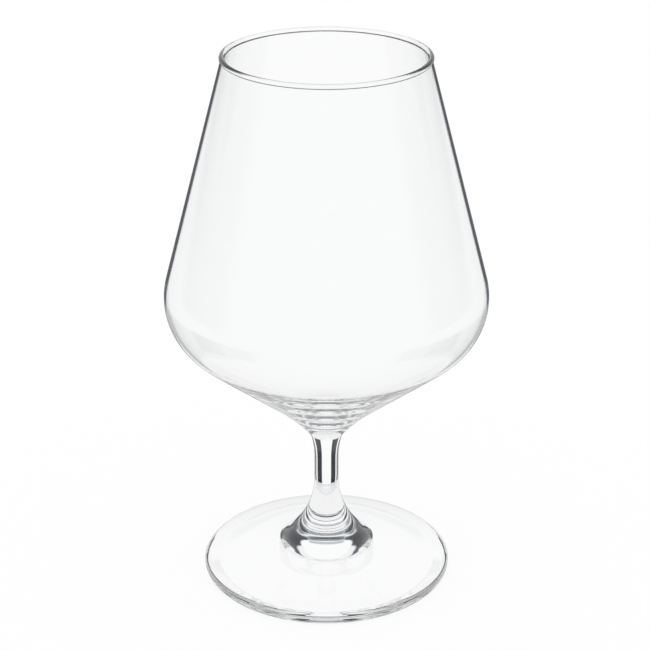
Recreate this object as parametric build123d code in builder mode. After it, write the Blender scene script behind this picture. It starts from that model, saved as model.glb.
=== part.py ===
"""Brandy snifter: a blown bowl, a drawn stem and a pressed foot, welded face to face.

All sizes are in millimetres. The origin is on the axis, on the plane that the foot stands on, and
+Z points up. Every piece is a half profile in the XZ plane, turned once round the Z axis.
"""

from build123d import *

import os
from math import acos, asin, atan2, cos, degrees, sin, sqrt

# Heights, stacked from the standing plane upwards
foot_height = 23.0
stem_length = 19.4
bowl_height = 112.6

# Bowl, outside: the widest ring, the arc through it, and where the straight cone below it ends
bowl_diameter = 90.8
belly_height = 43.6
belly_radius = 18.6
cone_diameter = 30.6
cone_height = 11.1
seat_diameter = 10.1

# Bowl, glass: the thin upper wall, the thicker cone and the rounded floor inside
wall = 0.9
cone_wall = 1.7
floor_radius = 19.0

# Rim: the melted bead that closes the wall, flush with it on the inside
rim_diameter = 57.2
bead_diameter = 1.5

# Stem
stem_diameter = 7.1
seat_flare = 6.4

# Neck: the arc on which the stem's lower end widens, and which runs on into the foot
neck_flare = 5.0
neck_blend = 23.0

# Foot
foot_diameter = 72.0
skirt_diameter = 29.0
skirt_height = 5.9
skirt_blend = 6.0
edge_thickness = 2.8
edge_top_blend = 0.9
edge_bottom_blend = 1.6
standing_ring_width = 3.6
underside_rise = 2.2

# Places and radii that two pieces, or two lines of one piece, share
stem_top = foot_height + stem_length
rim_top = stem_top + bowl_height
bowl_radius = bowl_diameter / 2
seat_radius = seat_diameter / 2
stem_radius = stem_diameter / 2
bead_radius = bead_diameter / 2
foot_radius = foot_diameter / 2


def facing(centre, radius, point, side):
    """The direction from a circle's centre to where a line from the point touches the circle.

    The touch is to the left (side 1) or to the right (side -1) of the way from centre to point.
    """
    apart = Vector(point) - Vector(centre)
    angle = atan2(apart.Y, apart.X) + side * acos(radius / apart.length)
    return Vector(cos(angle), sin(angle))


# Bowl: one closed half profile, from the seat up the outside, over the bead and down the inside
belly_centre = Vector(bowl_radius - belly_radius, stem_top + belly_height)
bead_centre = Vector(rim_diameter / 2 - bead_radius, rim_top - bead_radius)
cone_end = Vector(cone_diameter / 2, stem_top + cone_height)

# The wall is square to wall_out: its inner line touches the inner belly arc and the bead
wall_out = facing(belly_centre, belly_radius - wall + bead_radius, bead_centre, -1)
wall_up = Vector(-wall_out.Y, wall_out.X)
bead_offset = wall - bead_radius
bead_foot = bead_centre + wall_out * bead_offset - wall_up * sqrt(bead_radius**2 - bead_offset**2)

# The cone is square to cone_out on the outside, and to hollow_out on the inside
cone_out = facing(belly_centre, belly_radius, cone_end, 1)
hollow_end = cone_end - cone_out * cone_wall
hollow_out = facing(belly_centre, belly_radius - wall, hollow_end, 1)
floor_centre = Vector(0, hollow_end.Y - (floor_radius - hollow_end.X * hollow_out.X) / hollow_out.Y)

with BuildPart() as bowl:
    with BuildSketch(Plane.XZ):
        with BuildLine():
            Line((0, stem_top), (seat_radius, stem_top))
            TangentArc(cone_end, (seat_radius, stem_top), tangent=(cone_out.Y, -cone_out.X))
            Line(cone_end, belly_centre + cone_out * belly_radius)
            ThreePointArc(
                belly_centre + cone_out * belly_radius,
                belly_centre + Vector(belly_radius, 0),
                belly_centre + wall_out * belly_radius,
            )
            Line(belly_centre + wall_out * belly_radius, bead_foot)
            ThreePointArc(bead_foot, bead_centre + wall_up * bead_radius, bead_centre - wall_out * bead_radius)
            Line(bead_centre - wall_out * bead_radius, belly_centre + wall_out * (belly_radius - wall))
            ThreePointArc(
                belly_centre + wall_out * (belly_radius - wall),
                belly_centre + Vector(belly_radius - wall, 0),
                belly_centre + hollow_out * (belly_radius - wall),
            )
            Line(belly_centre + hollow_out * (belly_radius - wall), floor_centre + hollow_out * floor_radius)
            TangentArc(
                floor_centre - Vector(0, floor_radius),
                floor_centre + hollow_out * floor_radius,
                tangent=(1, 0),
            )
            Line(floor_centre - Vector(0, floor_radius), (0, stem_top))
        make_face()
    revolve(axis=Axis.Z)
bowl.part.label = "bowl"

# Stem: upright in the middle, flared to the bowl's seat above and to the neck of the foot below
neck_centre = Vector(stem_radius + neck_blend, foot_height + neck_flare)
neck_turn = degrees(asin(neck_flare / neck_blend))
neck_radius = neck_centre.X - sqrt(neck_blend**2 - neck_flare**2)

with BuildPart() as stem:
    with BuildSketch(Plane.XZ):
        with BuildLine():
            Line((0, foot_height), (neck_radius, foot_height))
            CenterArc(neck_centre, neck_blend, 180, neck_turn)
            Line((stem_radius, foot_height + neck_flare), (stem_radius, stem_top - seat_flare))
            TangentArc((stem_radius, stem_top - seat_flare), (seat_radius, stem_top), tangent=(0, 1))
            Line((seat_radius, stem_top), (0, stem_top))
            Line((0, stem_top), (0, foot_height))
        make_face()
    revolve(axis=Axis.Z)
stem.part.label = "stem"

# Foot: the neck's arc runs into a straight skirt, then a low slope to the rounded edge
skirt_foot = Vector(skirt_diameter / 2, skirt_height)
skirt_in = facing(neck_centre, neck_blend, skirt_foot, -1)
skirt_top = neck_centre + skirt_in * neck_blend
skirt_turn = degrees(atan2(-skirt_in.Y, -skirt_in.X))
ring_inner = foot_radius - edge_bottom_blend - standing_ring_width

with BuildPart() as foot:
    with BuildSketch(Plane.XZ):
        with BuildLine():
            Line((0, foot_height), (neck_radius, foot_height))
            CenterArc(neck_centre, neck_blend, 180 + neck_turn, skirt_turn - neck_turn)
            FilletPolyline(
                skirt_top,
                skirt_foot,
                (foot_radius, edge_thickness),
                (foot_radius, 0),
                (ring_inner, 0),
                radius=[
                    skirt_blend,
                    min(edge_top_blend, edge_thickness * 0.35),
                    min(edge_bottom_blend, edge_thickness * 0.6),
                ],
            )
            TangentArc((0, underside_rise), (ring_inner, 0), tangent=(1, 0))
            Line((0, underside_rise), (0, foot_height))
        make_face()
    revolve(axis=Axis.Z)
foot.part.label = "foot"

os.makedirs("parts", exist_ok=True)
export_step(bowl.part, "parts/bowl.step")
export_step(stem.part, "parts/stem.step")
export_step(foot.part, "parts/foot.step")
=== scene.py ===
"""Brandy snifter in clear glass: bowl, stem and foot, each a smooth surface of revolution.

Sizes are in metres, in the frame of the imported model: the axis of the glass is +Z and the foot
stands on z = 0. Run as a script it builds the glass, the stage and the camera.
"""

import math

import bpy
import numpy as np
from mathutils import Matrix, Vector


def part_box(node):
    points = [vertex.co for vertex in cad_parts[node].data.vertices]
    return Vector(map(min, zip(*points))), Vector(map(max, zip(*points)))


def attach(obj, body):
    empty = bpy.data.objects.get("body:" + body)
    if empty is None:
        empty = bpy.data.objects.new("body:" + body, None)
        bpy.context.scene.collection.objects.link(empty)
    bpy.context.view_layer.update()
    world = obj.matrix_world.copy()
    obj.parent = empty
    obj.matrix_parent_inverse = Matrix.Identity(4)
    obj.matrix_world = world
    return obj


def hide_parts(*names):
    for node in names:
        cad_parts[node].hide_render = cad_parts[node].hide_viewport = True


bl_info = {
    "name": "Brandy snifter",
    "version": (1, 0, 0),
    "blender": (4, 5, 0),
    "location": "3D View > Sidebar > Snifter",
    "description": "A clear blown bowl on a drawn stem and a pressed foot, on a white studio stage",
    "category": "Add Mesh",
}

MM = 0.001

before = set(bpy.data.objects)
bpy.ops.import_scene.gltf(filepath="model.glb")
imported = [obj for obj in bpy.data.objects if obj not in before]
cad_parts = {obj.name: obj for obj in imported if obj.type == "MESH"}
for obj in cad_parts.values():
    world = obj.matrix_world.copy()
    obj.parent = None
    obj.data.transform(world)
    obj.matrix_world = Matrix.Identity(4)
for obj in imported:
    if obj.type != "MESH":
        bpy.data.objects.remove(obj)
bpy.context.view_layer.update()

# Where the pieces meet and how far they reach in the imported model, and how far inside its radii
# the glass stays
FOOT_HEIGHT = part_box("stem")[0].z
STEM_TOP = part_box("stem")[1].z
RIM_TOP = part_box("bowl")[1].z
BOWL_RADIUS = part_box("bowl")[1].x
FOOT_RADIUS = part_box("foot")[1].x
CLEARANCE = 0.01 * MM

# How finely the surfaces are divided: round the axis, and from ring to ring along a profile
BOWL_SIDES, STEM_SIDES, FOOT_SIDES = 256, 192, 256
BOWL_STEP, FOOT_STEP = 0.8 * MM, 0.3 * MM
RIM_RINGS, HOLLOW_RINGS, EDGE_RINGS, FLAT_RINGS = 48, 60, 24, 8
BELLY_POINTS, FLOOR_POINTS, NECK_POINTS, BEND_POINTS, SKIRT_POINTS = 80, 60, 60, 40, 28
SHARP_CORNER = math.radians(40)

# A face is part of a weld where it lies this near the weld's height and is this nearly level
WELD_NEAR, NEARLY_LEVEL = 0.001 * MM, 0.999

# A point of a line that lies this near a cut gives way to the cut's own point
CUT_NEAR = 1e-9

# How far hot glass flows smooth along a profile
OUTSIDE_FLOW, INSIDE_FLOW, FOOT_FLOW = 0.8 * MM, 1.0 * MM, 0.5 * MM

# The floor: half its width, the air above it, and how much of its white is its own light
FLOOR_HALF, FLOOR_GAP, FLOOR_GLOW = 3.0, 0.05 * MM, 0.9

# The photograph's frame in pixels, and the sensor's width in millimetres
FRAME_PIXELS, SENSOR_WIDTH = 650.0, 36.0

# A card's blurred edge: where its rim's colour and where the dark come in, and over how much
RIM_AT, DARK_AT, BLUR = 0.3, 0.7, 0.6

# The height at which the panel passes into the table below, and over how wide an angle
TABLE_PASS, TABLE_PASS_WIDTH = math.radians(-45), math.radians(40)

# Mirrored light that has gone through more glass faces than this sees a plain room
MOST_FACES = 3


# Sizes and colours that a user may change


def length(name, description, default):
    """A size in metres."""
    return bpy.props.FloatProperty(
        name=name, description=description, default=default, min=0.0, unit="LENGTH", precision=5
    )


def angle(name, description, degrees):
    """An angle, given in degrees and kept in radians."""
    return bpy.props.FloatProperty(
        name=name, description=description, default=math.radians(degrees), unit="ROTATION"
    )


def colour(name, description, default):
    """A linear RGB colour."""
    return bpy.props.FloatVectorProperty(
        name=name,
        description=description,
        default=default,
        min=0.0,
        max=1.0,
        size=3,
        subtype="COLOR",
    )


def share(name, description, default, largest=1.0):
    """A plain factor."""
    return bpy.props.FloatProperty(
        name=name, description=description, default=default, min=0.0, max=largest
    )


class SnifterBowlSizes(bpy.types.PropertyGroup):
    """The bowl's curves, its glass thickness and its rim bead."""

    belly_height: length("Belly height", "Height of the widest ring above the stem", 43.6 * MM)
    belly_radius: length("Belly radius", "Radius of the arc through the widest ring", 18.6 * MM)
    cone_radius: length("Cone radius", "Distance from the axis where the cone ends", 15.3 * MM)
    cone_height: length("Cone height", "Height above the stem where the cone ends", 10.75 * MM)
    wall: length("Wall", "Thickness of the upper wall", 0.9 * MM)
    cone_wall: length("Cone wall", "Thickness of the glass where the cone ends", 3.0 * MM)
    floor_radius: length("Floor radius", "Radius of the rounded floor inside", 14.0 * MM)
    rim_radius: length("Rim radius", "Outside radius of the rim bead", 28.6 * MM)
    bead_radius: length("Bead radius", "Radius of the melted rim bead", 0.75 * MM)


class SnifterStemSizes(bpy.types.PropertyGroup):
    """The stem between the bowl and the neck of the foot."""

    radius: length("Radius", "Radius of the stem at its waist", 3.55 * MM)
    seat_radius: length("Seat radius", "Radius of the seat between stem and bowl", 4.6 * MM)
    seat_flare: length("Seat flare", "Length over which the stem widens to the bowl", 6.4 * MM)
    neck_flare: length("Neck flare", "Length over which the stem widens to the foot", 5.0 * MM)
    neck_blend: length("Neck blend", "Radius of the arc from the stem into the foot", 23.0 * MM)


class SnifterFootSizes(bpy.types.PropertyGroup):
    """The foot's skirt, edge and hollow underside."""

    skirt_radius: length("Skirt radius", "Where the skirt meets the low slope", 13.6 * MM)
    skirt_height: length("Skirt height", "Height where the skirt meets the low slope", 8.0 * MM)
    skirt_blend: length("Skirt blend", "Radius of the bend below the skirt", 2.0 * MM)
    skirt_sag: length("Skirt sag", "How far the middle of the straight skirt dips", 0.3 * MM)
    edge_thickness: length("Edge thickness", "Height of the outer edge", 2.8 * MM)
    edge_top_blend: length("Edge top blend", "Rounding of the edge above", 0.9 * MM)
    edge_bottom_blend: length("Edge bottom blend", "Rounding of the edge below", 1.6 * MM)
    ring_width: length("Ring width", "Width of the flat standing ring", 3.6 * MM)
    underside_rise: length("Underside rise", "Height of the hollow under the foot", 3.6 * MM)


class SnifterGlass(bpy.types.PropertyGroup):
    """The clear glass."""

    tint: colour("Tint", "Colour that the glass lets through", (0.992, 0.994, 0.995))
    ior: share("Index of refraction", "How much the glass bends light", 1.5, 3.0)


class SnifterStudio(bpy.types.PropertyGroup):
    """The camera, the white room seen in the glass and the dark cards standing in it.

    A direction is told by its turn from straight behind the glass and its height above level.
    """

    camera_distance: length("Camera distance", "Camera's distance from the axis", 499.7 * MM)
    camera_height: length("Camera height", "Camera's height above the foot's plane", 296.1 * MM)
    camera_pitch: angle("Camera pitch", "How far the camera looks down", 24.38)
    lens_pixels: share("Lens in pixels", "Focal length over one pixel's width", 1937.0, 9999.0)
    centre_x: share("Centre across", "Pixel column of the lens axis", 326.5, 650.0)
    centre_y: share("Centre down", "Pixel row of the lens axis", 347.2, 650.0)
    most_bounces: bpy.props.IntProperty(
        name="Most bounces", description="How often light may turn inside the glass", default=48
    )

    panel_level: share("Panel level", "Brightness of the white panel behind the glass", 0.98)
    table_level: share("Table level", "Brightness of the white far below the glass", 0.8)
    room_level: share("Room level", "Brightness of the room mirrored inside the glass", 0.9)
    front_level: share("Front level", "Brightness of the room mirrored on the glass", 0.86)
    card_colour: colour("Card colour", "Colour of the dark cards", (0.018, 0.02, 0.026))
    card_rim: colour("Card rim", "Colour of a card's blurred edge", (0.33, 0.385, 0.44))
    card_softness: angle("Card softness", "Width of a side card's blurred edge", 2.0)

    card_start: angle("Card start", "Turn to a side card's near edge", 17.0)
    card_end: angle("Card end", "Turn to a side card's far edge", 40.0)
    card_bottom: angle("Card bottom", "Height of a side card's lower edge", -34.0)
    card_top: angle("Card top", "Height of a side card's upper edge", 36.0)
    lintel_bottom: angle("Lintel bottom", "Lower edge of the card between side cards", 6.5)
    lintel_top: angle("Lintel top", "Upper edge of the card between side cards", 31.0)

    window_height: angle("Window height", "Height of the round bright panel's centre", 35.0)
    window_radius: angle("Window radius", "Radius of the round bright panel", 24.5)
    flank_start: angle("Flank start", "Turn to the near edge of the dark flanks", 14.0)
    flank_end: angle("Flank end", "Turn to the far edge of the dark flanks", 76.0)
    flank_bottom: angle("Flank bottom", "Height of the dark flanks' lower edge", -3.0)
    flank_top: angle("Flank top", "Height of the dark flanks' upper edge straight behind", 29.0)
    flank_lean: share("Flank lean", "How much that upper edge rises with the turn", 0.2)
    strip_bottom: angle("Strip bottom", "Height of the dark strip's lower edge", -9.0)
    strip_top: angle("Strip top", "Height of the dark strip's upper edge", 4.0)
    bar_bottom: angle("Bar bottom", "Lower edge of the bar across the bright panel", 14.0)
    bar_top: angle("Bar top", "Upper edge of the bar across the bright panel", 22.0)
    bar_share: share("Bar share", "How dark the bar is, from clear at 0 to a card at 1", 0.4)
    table_end: angle("Table end", "Turn to the end of the dark table edge", 26.0)
    table_bottom: angle("Table bottom", "Height of the table edge's lower side", -23.0)
    table_top: angle("Table top", "Height of the table edge's upper side", -9.0)
    horizon_bottom: angle("Horizon bottom", "Height of the grey horizon's lower edge", -9.0)
    horizon_top: angle("Horizon top", "Height of the grey horizon's upper edge", 13.0)
    horizon_end: angle("Horizon end", "Turn to the end of the grey horizon", 105.0)
    skirting_start: angle("Skirting start", "Turn to the grey skirting's near edge", 20.0)
    skirting_end: angle("Skirting end", "Turn to the grey skirting's far edge", 100.0)
    skirting_bottom: angle("Skirting bottom", "Height of the skirting's lower edge", -42.0)
    skirting_top: angle("Skirting top", "Height of the skirting's upper edge", -22.0)
    grey_colour: colour("Grey", "Colour of the horizon and the skirting", (0.3, 0.305, 0.31))

    edge_bottom: angle("Edge bottom", "Table edge's lower side, mirrored on the glass", -31.0)
    edge_colour: colour("Edge colour", "Table edge mirrored on the glass", (0.2, 0.205, 0.225))
    low_card_start: angle("Low card start", "Turn to the low side cards' near edge", 72.0)
    low_card_end: angle("Low card end", "Turn to the low side cards' far edge", 128.0)
    low_card_bottom: angle("Low card bottom", "Height of the low cards' lower edge", -36.0)
    low_card_top: angle("Low card top", "Height of the low cards' upper edge", -20.0)


# Shapes: half profiles as rows of (distance from the axis, height), turned once round the axis


def unit(turn):
    """The direction (cos turn, sin turn)."""
    return np.array([math.cos(turn), math.sin(turn)])


def facing(centre, radius, point, side):
    """The angle at which a line from the point touches a circle, seen from the circle's centre.

    It is the angle of the way from centre to point, plus side times acos(radius / its length).
    """
    apart = np.subtract(point, centre)
    return math.atan2(apart[1], apart[0]) + side * math.acos(radius / np.hypot(*apart))


def arc(centre, radius, start, end, count):
    """Points centre + radius (cos a, sin a), with a going evenly from start to end."""
    turn = np.linspace(start, end, count)
    return np.asarray(centre) + radius * np.stack([np.cos(turn), np.sin(turn)], 1)


def tangent_arc(start, direction, end, count=BEND_POINTS):
    """Points on the arc that leaves start along direction and passes through end.

    With c the way from start to end and n square to direction, the arc's centre lies at
    start + n |c|^2 / (2 c.n).
    """
    start, end = np.asarray(start, float), np.asarray(end, float)
    square = np.array([-direction[1], direction[0]])
    chord = end - start
    signed = chord @ chord / (2 * chord @ square)
    centre = start + square * signed
    first, last = (math.atan2(*(p - centre)[::-1]) for p in (start, end))
    last = first + (last - first + math.pi) % (2 * math.pi) - math.pi
    return arc(centre, abs(signed), first, last, count)


def resampled(points, step):
    """Points spaced evenly by step along the polyline, its two ends included."""
    points = np.asarray(points, float)
    run = np.r_[0, np.cumsum(np.hypot(*np.diff(points, axis=0).T))]
    count = max(2, int(round(run[-1] / step)) + 1)
    at = np.linspace(0, run[-1], count)
    return np.stack([np.interp(at, run, points[:, 0]), np.interp(at, run, points[:, 1])], 1)


def relaxed(points, step, spread):
    """An even line smoothed as hot glass is: each point becomes the mean of its neighbours.

    The weights are exp(-(s / spread)^2 / 2) at a distance s along the line. Beyond each end the
    line goes on as its own mirror image through the end point, which keeps the ends in place.
    """
    line = resampled(points, step)
    reach = min(int(4 * spread / step) + 1, len(line) - 1)
    weights = np.exp(-((np.arange(-reach, reach + 1) * step / spread) ** 2) / 2)
    weights /= weights.sum()
    before = 2 * line[0] - line[reach:0:-1]
    after = 2 * line[-1] - line[-2 : -reach - 2 : -1]
    long = np.vstack([before, line, after])
    return np.stack([np.convolve(long[:, k], weights, "valid") for k in (0, 1)], 1)


def turned(name, profile, sides, weld_heights):
    """A closed mesh: a profile turned once round the Z axis.

    Its point (i, j) is (r_i cos t_j, r_i sin t_j, z_i), with t_j = 2 pi j / sides. The profile
    runs from the axis to the axis, bottom first, outside before inside, and its two ends become
    single points. Flat faces at a weld height take the second material.
    """
    turn = np.arange(sides) * 2 * math.pi / sides
    r, z = profile[1:-1, 0], profile[1:-1, 1]
    rings = np.stack(
        [np.outer(r, np.cos(turn)), np.outer(r, np.sin(turn)), np.repeat(z[:, None], sides, 1)], 2
    )
    points = np.vstack([[[0, 0, profile[0, 1]]], rings.reshape(-1, 3), [[0, 0, profile[-1, 1]]]])
    i, j = np.meshgrid(np.arange(len(r) - 1), np.arange(sides), indexing="ij")
    ahead = (j + 1) % sides
    here, above = 1 + i * sides, 1 + (i + 1) * sides
    quads = np.stack([here + j, here + ahead, above + ahead, above + j], 2).reshape(-1, 4)
    j, ahead = np.arange(sides), (np.arange(sides) + 1) % sides
    top = 1 + (len(r) - 1) * sides
    first = np.stack([np.zeros(sides, int), 1 + ahead, 1 + j], 1)
    last = np.stack([np.full(sides, len(points) - 1), top + j, top + ahead], 1)
    mesh = bpy.data.meshes.new(name)
    faces = quads.tolist() + first.tolist() + last.tolist()
    mesh.from_pydata(points.tolist(), [], faces)
    mesh.update()
    mesh.validate()
    mesh.shade_smooth()
    mesh.set_sharp_from_angle(angle=SHARP_CORNER)
    centres = np.empty(len(mesh.polygons) * 3)
    normals = np.empty(len(mesh.polygons) * 3)
    mesh.polygons.foreach_get("center", centres)
    mesh.polygons.foreach_get("normal", normals)
    height, up = centres.reshape(-1, 3)[:, 2], np.abs(normals.reshape(-1, 3)[:, 2])
    weld = np.zeros(len(mesh.polygons), bool)
    for level in weld_heights:
        weld |= (np.abs(height - level) < WELD_NEAR) & (up > NEARLY_LEVEL)
    mesh.polygons.foreach_set("material_index", weld.astype(np.int32))
    piece = bpy.data.objects.new(name, mesh)
    bpy.context.scene.collection.objects.link(piece)
    return piece


def glass_material(name, settings):
    """Clear glass that bends and mirrors light."""
    material = bpy.data.materials.new(name)
    material.use_nodes = True
    shader = material.node_tree.nodes["Principled BSDF"]
    shader.inputs["Base Color"].default_value = (*settings.tint, 1.0)
    shader.inputs["Roughness"].default_value = 0.0
    shader.inputs["IOR"].default_value = settings.ior
    shader.inputs["Transmission Weight"].default_value = 1.0
    return material


def weld_material(name):
    """The boundary inside fused glass, which bends nothing and mirrors nothing."""
    material = bpy.data.materials.new(name)
    material.use_nodes = True
    tree = material.node_tree
    tree.nodes.remove(tree.nodes["Principled BSDF"])
    clear = tree.nodes.new("ShaderNodeBsdfTransparent")
    tree.links.new(clear.outputs[0], tree.nodes["Material Output"].inputs["Surface"])
    return material


def material_named(name, make, *values):
    """The material of that name, made the first time it is asked for."""
    return bpy.data.materials.get(name) or make(name, *values)


def finish_piece(piece, node):
    """Dresses a piece in glass, hides the plain node that it stands for, and lets it ride."""
    glass = bpy.context.scene.snifter_glass
    piece.data.materials.append(material_named("fire_polished_glass", glass_material, glass))
    piece.data.materials.append(material_named("weld", weld_material))
    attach(piece, "root")
    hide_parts(node)


class SNIFTER_OT_bowl(bpy.types.Operator):
    """Blow the bowl: cone, belly, wall, rim bead and rounded floor"""

    bl_idname = "snifter.bowl"
    bl_label = "Bowl"

    def execute(self, context):
        s = context.scene.snifter_bowl
        seat_radius = context.scene.snifter_stem.seat_radius
        belly = np.array([BOWL_RADIUS - CLEARANCE - s.belly_radius, STEM_TOP + s.belly_height])
        bead = np.array([s.rim_radius - s.bead_radius, RIM_TOP - s.bead_radius])
        cone_end = np.array([s.cone_radius, STEM_TOP + s.cone_height])
        inner_radius = s.belly_radius - s.wall

        wall_turn = facing(belly, inner_radius + s.bead_radius, bead, -1)
        wall_out, wall_up = unit(wall_turn), unit(wall_turn + math.pi / 2)
        offset = s.wall - s.bead_radius
        bead_foot = bead + wall_out * offset - wall_up * math.sqrt(s.bead_radius**2 - offset**2)
        cone_turn = facing(belly, s.belly_radius, cone_end, 1)
        hollow_end = cone_end - unit(cone_turn) * s.cone_wall
        hollow_turn = facing(belly, inner_radius, hollow_end, 1)
        hollow_out = unit(hollow_turn)
        past_end = s.floor_radius - hollow_end[0] * hollow_out[0]
        floor = np.array([0, hollow_end[1] - past_end / hollow_out[1]])

        down_cone = np.array([math.sin(cone_turn), -math.cos(cone_turn)])
        outside = np.vstack(
            [
                tangent_arc(cone_end, down_cone, (seat_radius, STEM_TOP))[::-1],
                arc(belly, s.belly_radius, cone_turn, wall_turn, BELLY_POINTS),
                bead_foot[None],
            ]
        )
        over = math.atan2(*(bead_foot - bead)[::-1])
        rim = arc(bead, s.bead_radius, over, wall_turn + math.pi, RIM_RINGS)
        inside = np.vstack(
            [
                rim[-1:],
                arc(belly, inner_radius, wall_turn, hollow_turn, BELLY_POINTS),
                arc(floor, s.floor_radius, hollow_turn, -math.pi / 2, FLOOR_POINTS),
            ]
        )
        far_side = inside[-2::-1] * [-1, 1]
        whole = relaxed(np.vstack([inside, far_side]), BOWL_STEP, INSIDE_FLOW)
        half = whole[: len(whole) // 2 + 1]
        half[-1, 0] = 0
        seat = np.linspace([0, STEM_TOP], [seat_radius, STEM_TOP], FLAT_RINGS)
        outside = relaxed(outside, BOWL_STEP, OUTSIDE_FLOW)
        profile = np.vstack([seat[:-1], outside, rim[1:-1], half])
        piece = turned("bowl_glass", profile, BOWL_SIDES, [STEM_TOP])
        finish_piece(piece, "bowl")
        return {"FINISHED"}


def stem_and_foot_outline():
    """The one smooth line down the stem, the neck, the skirt and the low slope to the foot's edge.

    The skirt dips from its chord by 4 sag t (1 - t), with t going from 0 to 1 along it. The whole
    line then flows smooth as hot glass does.
    """
    stem, foot = bpy.context.scene.snifter_stem, bpy.context.scene.snifter_foot
    neck = np.array([stem.radius + stem.neck_blend, FOOT_HEIGHT + stem.neck_flare])
    skirt_foot = np.array([foot.skirt_radius, foot.skirt_height])
    skirt_turn = facing(neck, stem.neck_blend, skirt_foot, -1)
    edge = np.array([FOOT_RADIUS - CLEARANCE, foot.edge_thickness])
    top = foot.edge_top_blend
    flare_start = np.array([stem.radius, STEM_TOP - stem.seat_flare])
    seat = tangent_arc(flare_start, (0, 1), (stem.seat_radius, STEM_TOP))[::-1]
    skirt_top = neck + stem.neck_blend * unit(skirt_turn)
    down = skirt_foot - skirt_top
    down /= np.hypot(*down)
    out = edge - skirt_foot
    out /= np.hypot(*out)
    bend = math.acos(down @ out)
    reach = foot.skirt_blend * math.tan(bend / 2)
    bend_arc = tangent_arc(skirt_foot - down * reach, down, skirt_foot + out * reach)
    along = np.linspace(0, 1, SKIRT_POINTS + 2)[1:-1, None]
    dip = 4 * foot.skirt_sag * along * (1 - along) * [down[1], -down[0]]
    skirt = skirt_top + (bend_arc[0] - skirt_top) * along + dip
    edge_bend = math.acos(out @ np.array([0, -1]))
    edge_reach = top * math.tan(edge_bend / 2)
    line = np.vstack(
        [
            seat,
            arc(neck, stem.neck_blend, math.pi, skirt_turn % (2 * math.pi), NECK_POINTS),
            skirt,
            bend_arc,
            tangent_arc(edge - out * edge_reach, out, edge - [0, edge_reach]),
        ]
    )
    return relaxed(line, FOOT_STEP, FOOT_FLOW)


def split_at(line, height):
    """The line's part above a height and its part below, with a shared point at that height."""
    cut = np.array([[np.interp(-height, -line[:, 1], line[:, 0]), height]])
    above, below = line[line[:, 1] > height + CUT_NEAR], line[line[:, 1] < height - CUT_NEAR]
    return np.vstack([above, cut]), np.vstack([cut, below])


class SNIFTER_OT_stem(bpy.types.Operator):
    """Draw the stem, flared to the bowl above and to the neck of the foot below"""

    bl_idname = "snifter.stem"
    bl_label = "Stem"

    def execute(self, context):
        side = split_at(stem_and_foot_outline(), FOOT_HEIGHT)[0][::-1]
        bottom = np.linspace([0, FOOT_HEIGHT], side[0], FLAT_RINGS)
        top = np.linspace(side[-1], [0, STEM_TOP], FLAT_RINGS)
        profile = np.vstack([bottom[:-1], side, top[1:]])
        piece = turned("stem_glass", profile, STEM_SIDES, [FOOT_HEIGHT, STEM_TOP])
        finish_piece(piece, "stem")
        return {"FINISHED"}


class SNIFTER_OT_foot(bpy.types.Operator):
    """Press the foot: neck, skirt, low slope, rounded edge, standing ring and hollow underside"""

    bl_idname = "snifter.foot"
    bl_label = "Foot"

    def execute(self, context):
        s = context.scene.snifter_foot
        top = split_at(stem_and_foot_outline(), FOOT_HEIGHT)[1]
        blend = s.edge_bottom_blend
        ring_outer = FOOT_RADIUS - CLEARANCE - blend
        ring_inner = ring_outer - s.ring_width
        under = tangent_arc((0, s.underside_rise), (1, 0), (ring_inner, 0), HOLLOW_RINGS)
        edge = arc((ring_outer, blend), blend, -math.pi / 2, 0, EDGE_RINGS)
        ring = np.linspace([ring_inner, 0], [ring_outer, 0], FLAT_RINGS)
        neck = np.linspace(top[0], [0, FOOT_HEIGHT], FLAT_RINGS)
        profile = np.vstack([under[:-1], ring[:-1], edge, top[::-1], neck[1:]])
        piece = turned("foot_glass", profile, FOOT_SIDES, [FOOT_HEIGHT])
        finish_piece(piece, "foot")
        return {"FINISHED"}


# The stage: a direction has the turn from straight behind the glass, and the height above level


def math_node(tree, operation, first, second=0.0):
    """A Math node on two sockets or numbers."""
    node = tree.nodes.new("ShaderNodeMath")
    node.operation = operation
    for socket, value in zip(node.inputs, (first, second)):
        if isinstance(value, (int, float)):
            socket.default_value = value
        else:
            tree.links.new(value, socket)
    return node.outputs[0]


def step(tree, value, edge, soft, low=0.0, high=1.0):
    """Low below the edge and high above it, with a smooth change over soft between the two."""
    change = tree.nodes.new("ShaderNodeMapRange")
    change.interpolation_type = "SMOOTHSTEP"
    change.inputs["From Min"].default_value = edge - soft / 2
    change.inputs["From Max"].default_value = edge + soft / 2
    change.inputs["To Min"].default_value = low
    change.inputs["To Max"].default_value = high
    tree.links.new(value, change.inputs["Value"])
    return change.outputs[0]


def band(tree, value, low, high, soft):
    """1 where value is between low and high, falling smoothly to 0 over soft at each end."""
    return math_node(
        tree, "MULTIPLY", step(tree, value, low, soft), step(tree, value, high, soft, 1.0, 0.0)
    )


def sees_glass(tree):
    """1 for a ray that glass has bent or mirrored, 0 for the camera's own and for lit surfaces."""
    path = tree.nodes.new("ShaderNodeLightPath")
    return math_node(
        tree, "MAXIMUM", path.outputs["Is Transmission Ray"], path.outputs["Is Glossy Ray"]
    )


def mixed(tree, factor, first, second):
    """The first colour where factor is 0 and the second where it is 1."""
    node = tree.nodes.new("ShaderNodeMixRGB")
    tree.links.new(factor, node.inputs["Fac"])
    for socket, value in ((node.inputs["Color1"], first), (node.inputs["Color2"], second)):
        if isinstance(value, tuple):
            socket.default_value = (*value, 1.0)
        else:
            tree.links.new(value, socket)
    return node.outputs[0]


def chained(tree, operation, values):
    """The values joined one after another by Math nodes of one operation."""
    whole = values[0]
    for value in values[1:]:
        whole = math_node(tree, operation, whole, value)
    return whole


def product(tree, *values):
    """The values multiplied with one another."""
    return chained(tree, "MULTIPLY", values)


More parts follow.
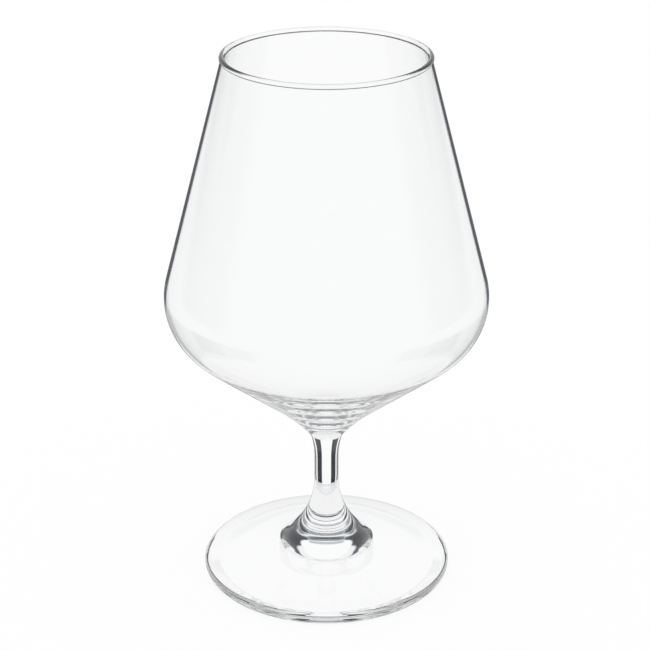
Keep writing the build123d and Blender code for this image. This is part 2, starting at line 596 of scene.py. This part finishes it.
def highest(tree, *values):
    """The highest of the values."""
    return chained(tree, "MAXIMUM", values)


def grey(level):
    """The colourless light of a level."""
    return (level,) * 3


def shaded(tree, studio, card, light):
    """The light darkened by a card, through the colour of the card's blurred edge."""
    half = mixed(tree, step(tree, card, RIM_AT, BLUR), light, tuple(studio.card_rim))
    return mixed(tree, step(tree, card, DARK_AT, BLUR), half, tuple(studio.card_colour))


def bent_light(tree, studio, turn, height):
    """What shows in light that the glass has only bent: a white room with dark cards.

    The turn is folded to repeat every quarter turn. Side cards stand where it is between their
    edges, and the lintel hangs between them. Far below, the panel passes into the table.
    """
    soft = studio.card_softness
    quarter = math_node(tree, "PINGPONG", turn, math.pi / 4)
    side_card = product(
        tree,
        band(tree, quarter, studio.card_start, studio.card_end, soft),
        band(tree, height, studio.card_bottom, studio.card_top, soft),
    )
    lintel = product(
        tree,
        band(tree, height, studio.lintel_bottom, studio.lintel_top, soft),
        step(tree, quarter, studio.card_end, soft, 1.0, 0.0),
    )
    raised = step(tree, height, TABLE_PASS, TABLE_PASS_WIDTH)
    light = mixed(tree, raised, grey(studio.table_level), grey(studio.panel_level))
    return shaded(tree, studio, highest(tree, side_card, lintel), light)


def mirrored_light(tree, studio, aside, height):
    """What shows in light that was mirrored inside the glass: a dimmer room with dark cards.

    The round bright panel is where sqrt(turn^2 + (height - window height)^2) is less than its
    radius. The dark flanks stand beside it, and their upper edge leans: it is where
    height - lean * turn reaches flank top. A dark strip and the table edge lie below the panel
    and a half dark bar crosses it. The horizon and the skirting are grey.
    """
    soft = 2 * studio.card_softness
    above = math_node(tree, "SUBTRACT", height, studio.window_height)
    squares = [math_node(tree, "POWER", part, 2.0) for part in (aside, above)]
    from_centre = math_node(tree, "SQRT", math_node(tree, "ADD", *squares))
    outside_window = step(tree, from_centre, studio.window_radius, soft)
    rise = math_node(tree, "MULTIPLY", aside, studio.flank_lean)
    flank = product(
        tree,
        band(tree, aside, studio.flank_start, studio.flank_end, soft),
        step(tree, height, studio.flank_bottom, soft),
        step(tree, math_node(tree, "SUBTRACT", height, rise), studio.flank_top, soft, 1.0, 0.0),
        outside_window,
    )
    strip = product(
        tree,
        band(tree, height, studio.strip_bottom, studio.strip_top, soft),
        step(tree, aside, studio.flank_start, soft, 1.0, 0.0),
    )
    bar = product(
        tree,
        band(tree, height, studio.bar_bottom, studio.bar_top, soft),
        step(tree, aside, studio.flank_start, soft, studio.bar_share, 0.0),
    )
    table_edge = product(
        tree,
        band(tree, height, studio.table_bottom, studio.table_top, soft),
        step(tree, aside, studio.table_end, soft, 1.0, 0.0),
    )
    horizon = product(
        tree,
        band(tree, height, studio.horizon_bottom, studio.horizon_top, soft),
        step(tree, aside, studio.horizon_end, 5 * soft, 1.0, 0.0),
    )
    skirting = product(
        tree,
        band(tree, height, studio.skirting_bottom, studio.skirting_top, soft),
        band(tree, aside, studio.skirting_start, studio.skirting_end, 2 * soft),
    )
    room = mixed(
        tree, highest(tree, horizon, skirting), grey(studio.room_level), tuple(studio.grey_colour)
    )
    light = mixed(tree, outside_window, grey(studio.panel_level), room)
    return shaded(tree, studio, highest(tree, flank, strip, table_edge, bar), light)


def front_light(tree, studio, aside, height):
    """What shows in light mirrored on the outer face: a room, the table edge and low cards."""
    soft = 2 * studio.card_softness
    table_edge = product(
        tree,
        band(tree, height, studio.edge_bottom, studio.table_top, soft),
        step(tree, aside, studio.table_end, soft, 1.0, 0.0),
    )
    low_card = product(
        tree,
        band(tree, aside, studio.low_card_start, studio.low_card_end, 2 * soft),
        band(tree, height, studio.low_card_bottom, studio.low_card_top, soft),
    )
    light = mixed(tree, table_edge, grey(studio.front_level), tuple(studio.edge_colour))
    return mixed(tree, low_card, light, tuple(studio.card_colour))


def build_world(studio):
    """White all round for the camera and for lit surfaces, and a studio seen in the glass.

    What a ray sees there goes by what the glass has done to it: only bent it, mirrored it on its
    outer face, or mirrored it inside. A mirrored ray that has gone through more than three faces
    sees a plain room.
    """
    world = bpy.data.worlds.new("studio")
    bpy.context.scene.world = world
    world.use_nodes = True
    tree = world.node_tree
    tree.nodes.clear()
    coords = tree.nodes.new("ShaderNodeTexCoord")
    split = tree.nodes.new("ShaderNodeSeparateXYZ")
    tree.links.new(coords.outputs["Generated"], split.inputs[0])
    turn = math_node(tree, "ARCTAN2", split.outputs["X"], split.outputs["Y"])
    height = math_node(tree, "ARCSINE", split.outputs["Z"])
    aside = math_node(tree, "ABSOLUTE", turn)

    path = tree.nodes.new("ShaderNodeLightPath")
    faces = path.outputs["Transmission Depth"]
    view = mixed(
        tree,
        math_node(tree, "GREATER_THAN", faces, 0.5),
        front_light(tree, studio, aside, height),
        mirrored_light(tree, studio, aside, height),
    )
    lost = math_node(tree, "GREATER_THAN", faces, MOST_FACES + 0.5)
    view = mixed(tree, lost, view, grey(studio.room_level))
    mirrored = math_node(tree, "MINIMUM", path.outputs["Glossy Depth"], 1.0)
    view = mixed(tree, mirrored, bent_light(tree, studio, turn, height), view)

    plain = tree.nodes.new("ShaderNodeBackground")
    plain.inputs["Color"].default_value = (1, 1, 1, 1)
    seen = tree.nodes.new("ShaderNodeBackground")
    tree.links.new(view, seen.inputs["Color"])
    output = tree.nodes.new("ShaderNodeOutputWorld")
    either_shader(tree, plain, seen, output)


def either_shader(tree, plain, seen, output):
    """Sends the plain shader to the output, or the seen one for a ray that glass has turned."""
    either = tree.nodes.new("ShaderNodeMixShader")
    tree.links.new(sees_glass(tree), either.inputs[0])
    tree.links.new(plain.outputs[0], either.inputs[1])
    tree.links.new(seen.outputs[0], either.inputs[2])
    tree.links.new(either.outputs[0], output.inputs["Surface"])


def build_floor():
    """A plain white floor that takes the glass's shadow, and which the glass looks through.

    A hair of air between the floor and the standing ring keeps the ring's own mirror whole.
    """
    corners_round = [(-FLOOR_HALF, -FLOOR_HALF), (FLOOR_HALF, -FLOOR_HALF)]
    corners_round += [(-x, -y) for x, y in corners_round]
    mesh = bpy.data.meshes.new("floor")
    mesh.from_pydata([(x, y, -FLOOR_GAP) for x, y in corners_round], [], [(0, 1, 2, 3)])
    floor = bpy.data.objects.new("floor", mesh)
    bpy.context.scene.collection.objects.link(floor)
    material = bpy.data.materials.new("floor_white")
    material.use_nodes = True
    tree = material.node_tree
    tree.nodes.clear()
    matt = tree.nodes.new("ShaderNodeBsdfDiffuse")
    matt.inputs["Color"].default_value = (1, 1, 1, 1)
    glow = tree.nodes.new("ShaderNodeEmission")
    glow.inputs["Strength"].default_value = 1.0
    white = tree.nodes.new("ShaderNodeMixShader")
    white.inputs[0].default_value = FLOOR_GLOW
    tree.links.new(matt.outputs[0], white.inputs[1])
    tree.links.new(glow.outputs[0], white.inputs[2])
    clear = tree.nodes.new("ShaderNodeBsdfTransparent")
    either_shader(tree, white, clear, tree.nodes.new("ShaderNodeOutputMaterial"))
    mesh.materials.append(material)


def build_camera(studio):
    """The camera in front of the glass, above it and looking down at it."""
    data = bpy.data.cameras.new("camera")
    data.sensor_width = SENSOR_WIDTH
    data.lens = SENSOR_WIDTH * studio.lens_pixels / FRAME_PIXELS
    data.shift_x = 0.5 - studio.centre_x / FRAME_PIXELS
    data.shift_y = studio.centre_y / FRAME_PIXELS - 0.5
    data.clip_start = 0.01
    camera = bpy.data.objects.new("camera", data)
    bpy.context.scene.collection.objects.link(camera)
    camera.location = (0, -studio.camera_distance, studio.camera_height)
    camera.rotation_euler = (math.pi / 2 - studio.camera_pitch, 0, 0)
    bpy.context.scene.camera = camera


class SNIFTER_OT_stage(bpy.types.Operator):
    """Set up the floor, the light and the camera"""

    bl_idname = "snifter.stage"
    bl_label = "Stage"

    def execute(self, context):
        studio = context.scene.snifter_studio
        build_world(studio)
        build_floor()
        build_camera(studio)
        context.scene.view_settings.view_transform = "Standard"
        for kind in ("max_bounces", "transmission_bounces", "glossy_bounces"):
            setattr(context.scene.cycles, kind, studio.most_bounces)
        return {"FINISHED"}


class SNIFTER_PT_panel(bpy.types.Panel):
    """Lists the pieces and their sizes in the sidebar"""

    bl_label = "Brandy snifter"
    bl_idname = "SNIFTER_PT_panel"
    bl_space_type = "VIEW_3D"
    bl_region_type = "UI"
    bl_category = "Snifter"

    def draw(self, context):
        for group, kind in GROUPS.items():
            box = self.layout.box()
            if group in OPERATORS:
                box.operator(OPERATORS[group])
            else:
                box.label(text="Glass")
            for name in kind.__annotations__:
                box.prop(getattr(context.scene, group), name)


OPERATORS = {
    "snifter_bowl": "snifter.bowl",
    "snifter_stem": "snifter.stem",
    "snifter_foot": "snifter.foot",
    "snifter_studio": "snifter.stage",
}
GROUPS = {
    "snifter_bowl": SnifterBowlSizes,
    "snifter_stem": SnifterStemSizes,
    "snifter_foot": SnifterFootSizes,
    "snifter_glass": SnifterGlass,
    "snifter_studio": SnifterStudio,
}
CLASSES = (
    *GROUPS.values(),
    SNIFTER_OT_bowl,
    SNIFTER_OT_stem,
    SNIFTER_OT_foot,
    SNIFTER_OT_stage,
    SNIFTER_PT_panel,
)


def register():
    """Adds the classes, and the groups of settings for bowl, stem, foot, glass and studio."""
    for item in CLASSES:
        bpy.utils.register_class(item)
    for name, group in GROUPS.items():
        setattr(bpy.types.Scene, name, bpy.props.PointerProperty(type=group))


def unregister():
    """Takes the settings and the classes away again."""
    for name in GROUPS:
        delattr(bpy.types.Scene, name)
    for item in reversed(CLASSES):
        bpy.utils.unregister_class(item)


def main():
    """Builds the glass and its stage."""
    register()
    bpy.ops.snifter.bowl()
    bpy.ops.snifter.stem()
    bpy.ops.snifter.foot()
    bpy.ops.snifter.stage()


if __name__ == "__main__":
    main()
